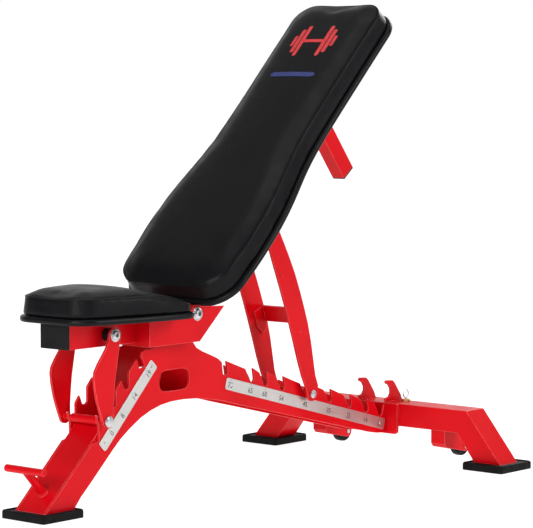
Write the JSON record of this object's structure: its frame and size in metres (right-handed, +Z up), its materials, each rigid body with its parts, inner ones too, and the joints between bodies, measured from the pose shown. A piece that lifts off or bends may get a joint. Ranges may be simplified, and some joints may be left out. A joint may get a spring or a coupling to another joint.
{
  "type": "adjustable weight bench",
  "caption": "Adjustable weight bench with a notched plate frame, a tilting seat, a reclining tapered back pad, splayed rear feet and transport wheels.",
  "frame": {"origin": "middle of the footprint, on the floor", "axes": "+X from the front foot to the rear feet, +Y to the far side of the picture, +Z up"},
  "size_m": [1.2156, 0.746, 1.0169],
  "materials": {
    "red_paint": "glossy powder coat",
    "black_vinyl": "satin vinyl",
    "black_rubber": "matt",
    "black_plastic": "moulded",
    "strip_metal": "brushed",
    "zinc": "zinc plated",
    "brass": "satin"
  },
  "bodies": {
    "frame": {"side_plate_near": "red_paint", "side_plate_far": "red_paint", "front_leg_tube": "red_paint", "front_foot_pad": "black_rubber", "lift_handle": "red_paint", "hub_web": "red_paint", "hub_boss_near": "red_paint", "hub_boss_far": "red_paint", "main_pivot_bolt": "zinc", "main_pivot_nut": "zinc", "rail_tube": "red_paint", "rear_flange_plate": "red_paint", "rear_cross_beam": "red_paint", "rear_hook_near": "red_paint", "rear_hook_far": "red_paint", "rear_foot_pad_near": "black_rubber", "rear_foot_pad_far": "black_rubber", "wheel_bracket_near": "red_paint", "wheel_bracket_far": "red_paint", "wheel_axle_near": "zinc", "wheel_axle_far": "zinc", "pull_pin_housing": "brass", "front_angle_strip": "strip_metal", "rear_angle_strip": "strip_metal"},
    "seat": {"seat_tube": "red_paint", "seat_tube_cap": "black_plastic", "seat_yoke": "red_paint", "seat_board": "black_vinyl", "seat_cushion": "black_vinyl", "seat_arm_pivot_bolt": "zinc", "seat_arm_pivot_nut": "zinc", "seat_arm_spacer_near": "black_plastic", "seat_arm_spacer_far": "black_plastic"},
    "seat_arms": {"seat_arm_near": "red_paint", "seat_arm_far": "red_paint", "seat_lock_bar": "red_paint", "seat_lock_bar_nut_near": "zinc", "seat_lock_bar_nut_far": "zinc"},
    "back": {"back_tube": "red_paint", "back_hinge": "red_paint", "back_board": "black_vinyl", "back_cushion": "black_vinyl", "lift_post": "red_paint", "lift_post_cap": "black_plastic", "back_arm_pivot_bolt": "zinc", "back_arm_pivot_nut": "zinc", "back_arm_spacer_near": "black_plastic", "back_arm_spacer_far": "black_plastic"},
    "back_arms": {"back_arm_near": "red_paint", "back_arm_far": "red_paint", "back_arm_brace": "red_paint", "back_lock_bar": "red_paint", "back_lock_bar_nut_near": "zinc", "back_lock_bar_nut_far": "zinc"},
    "wheel_near": {"wheel_near": "black_plastic"},
    "wheel_far": {"wheel_far": "black_plastic"},
    "pull_pin": {"pull_pin": "zinc"}
  },
  "joints": [
    {"name": "seat_tilt", "type": "hinge", "parent": "frame", "child": "seat", "pos_m": [-0.18775, 0, 0.377], "axis": [0, 1, 0], "range_deg": [0, 19]},
    {"name": "seat_arm_swing", "type": "hinge", "parent": "seat", "child": "seat_arms", "pos_m": [-0.41175, 0, 0.35], "axis": [0, 1, 0], "range_deg": [-19, 0]},
    {"name": "back_recline", "type": "hinge", "parent": "frame", "child": "back", "pos_m": [-0.18775, 0, 0.377], "axis": [0, -1, 0], "range_deg": [0, 30]},
    {"name": "back_arm_swing", "type": "hinge", "parent": "back", "child": "back_arms", "pos_m": [0.05408, 0, 0.56226], "axis": [0, -1, 0], "range_deg": [-20, 0]},
    {"name": "wheel_near_spin", "type": "hinge", "parent": "frame", "child": "wheel_near", "pos_m": [0.58325, -0.17, 0.032], "axis": [0, 1, 0], "continuous": true},
    {"name": "wheel_far_spin", "type": "hinge", "parent": "frame", "child": "wheel_far", "pos_m": [0.58325, 0.17, 0.032], "axis": [0, 1, 0], "continuous": true},
    {"name": "pull_pin_lift", "type": "slide", "parent": "frame", "child": "pull_pin", "axis": [0, 0, 1], "range_m": [0, 0.01], "stiffness_N_per_m": 200, "springref_m": -0.01}
  ],
  "couplings": [
    {"joint": "seat_arm_swing", "follows": "seat_tilt", "ratio": -1},
    {"joint": "back_arm_swing", "follows": "back_recline", "ratio": -0.66}
  ]
}
